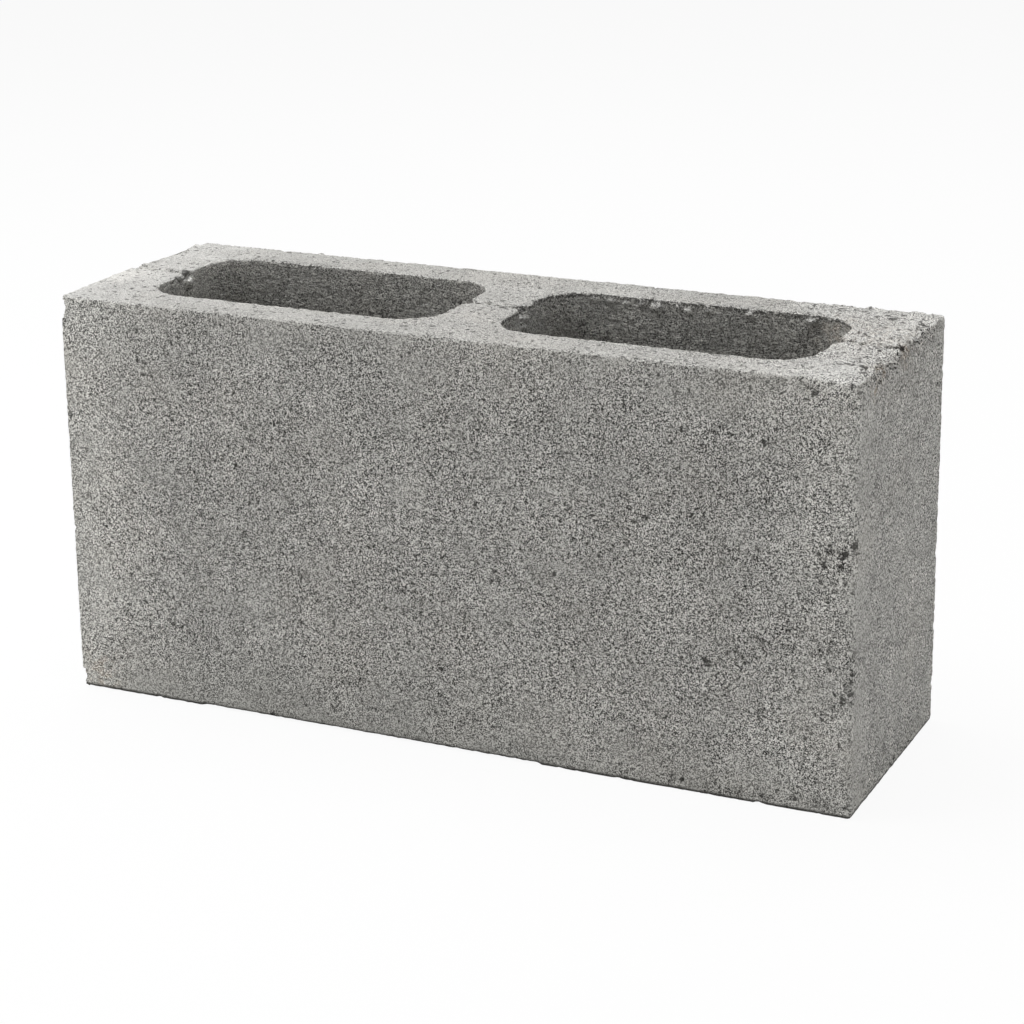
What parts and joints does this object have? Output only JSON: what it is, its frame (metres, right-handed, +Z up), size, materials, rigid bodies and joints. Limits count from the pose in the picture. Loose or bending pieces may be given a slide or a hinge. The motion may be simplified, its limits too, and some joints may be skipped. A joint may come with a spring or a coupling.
{
  "type": "hollow concrete block",
  "caption": "Rectangular hollow concrete masonry block with tapered, round-cornered cores open right through from bed to bed, for laying walls or filling with grout.",
  "frame": {"origin": "middle of the lower bed face, the face that the block stands on", "axes": "+X along the block's length, +Y through its thickness towards the back face, +Z up towards the struck upper bed"},
  "size_m": [0.4, 0.125, 0.2],
  "materials": {
    "concrete": "matte"
  },
  "bodies": {
    "root": {"concrete_block": "concrete"}
  },
  "joints": []
}
